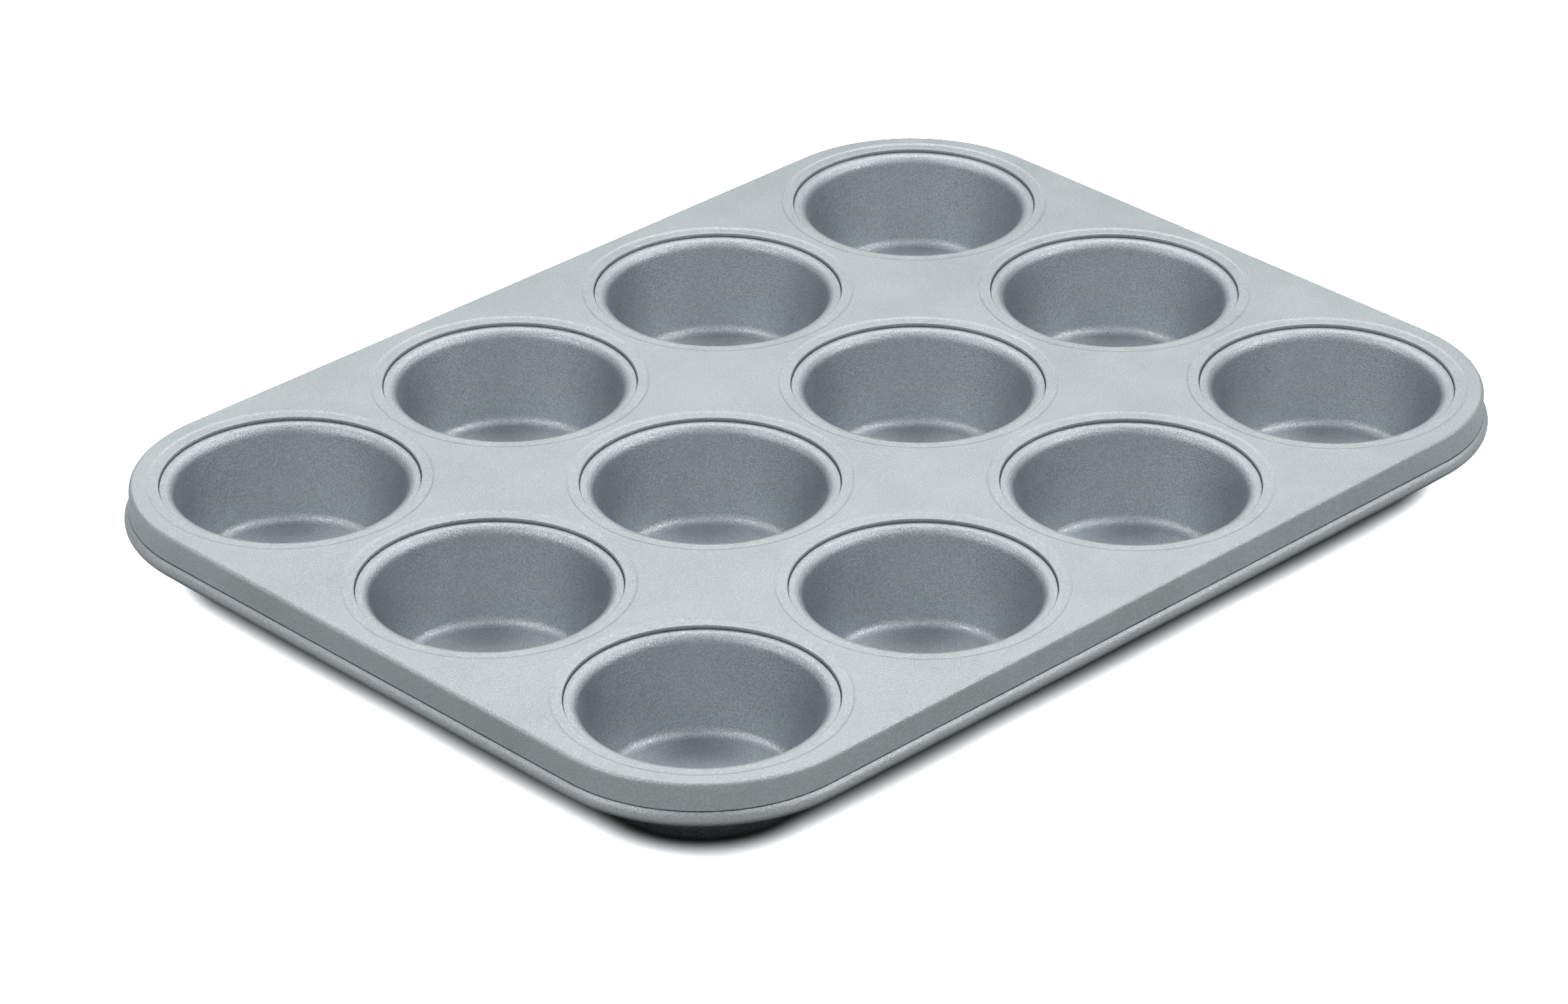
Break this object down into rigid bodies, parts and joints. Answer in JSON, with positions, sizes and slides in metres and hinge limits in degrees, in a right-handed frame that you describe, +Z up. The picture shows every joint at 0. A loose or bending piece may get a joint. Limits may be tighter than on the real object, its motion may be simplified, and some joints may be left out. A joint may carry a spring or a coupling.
{
  "type": "muffin tin",
  "caption": "Seamed metal muffin tin: a pressed top plate with a wired, rolled rim and separate drawn cups locked into its holes.",
  "frame": {"origin": "on the table, under the middle of the tin", "axes": "+X along the long side, +Y along the short side, +Z up, towards the mouths of the cups"},
  "size_m": [0.3504, 0.2658, 0.0295],
  "materials": {
    "coated_plate": "satin",
    "coated_cup": "satin",
    "wire_steel": "satin"
  },
  "bodies": {
    "root": {"top_plate": "coated_plate", "rim_wire": "wire_steel", "cup_1_1": "coated_cup", "cup_1_2": "coated_cup", "cup_1_3": "coated_cup", "cup_2_1": "coated_cup", "cup_2_2": "coated_cup", "cup_2_3": "coated_cup", "cup_3_1": "coated_cup", "cup_3_2": "coated_cup", "cup_3_3": "coated_cup", "cup_4_1": "coated_cup", "cup_4_2": "coated_cup", "cup_4_3": "coated_cup"}
  },
  "joints": []
}
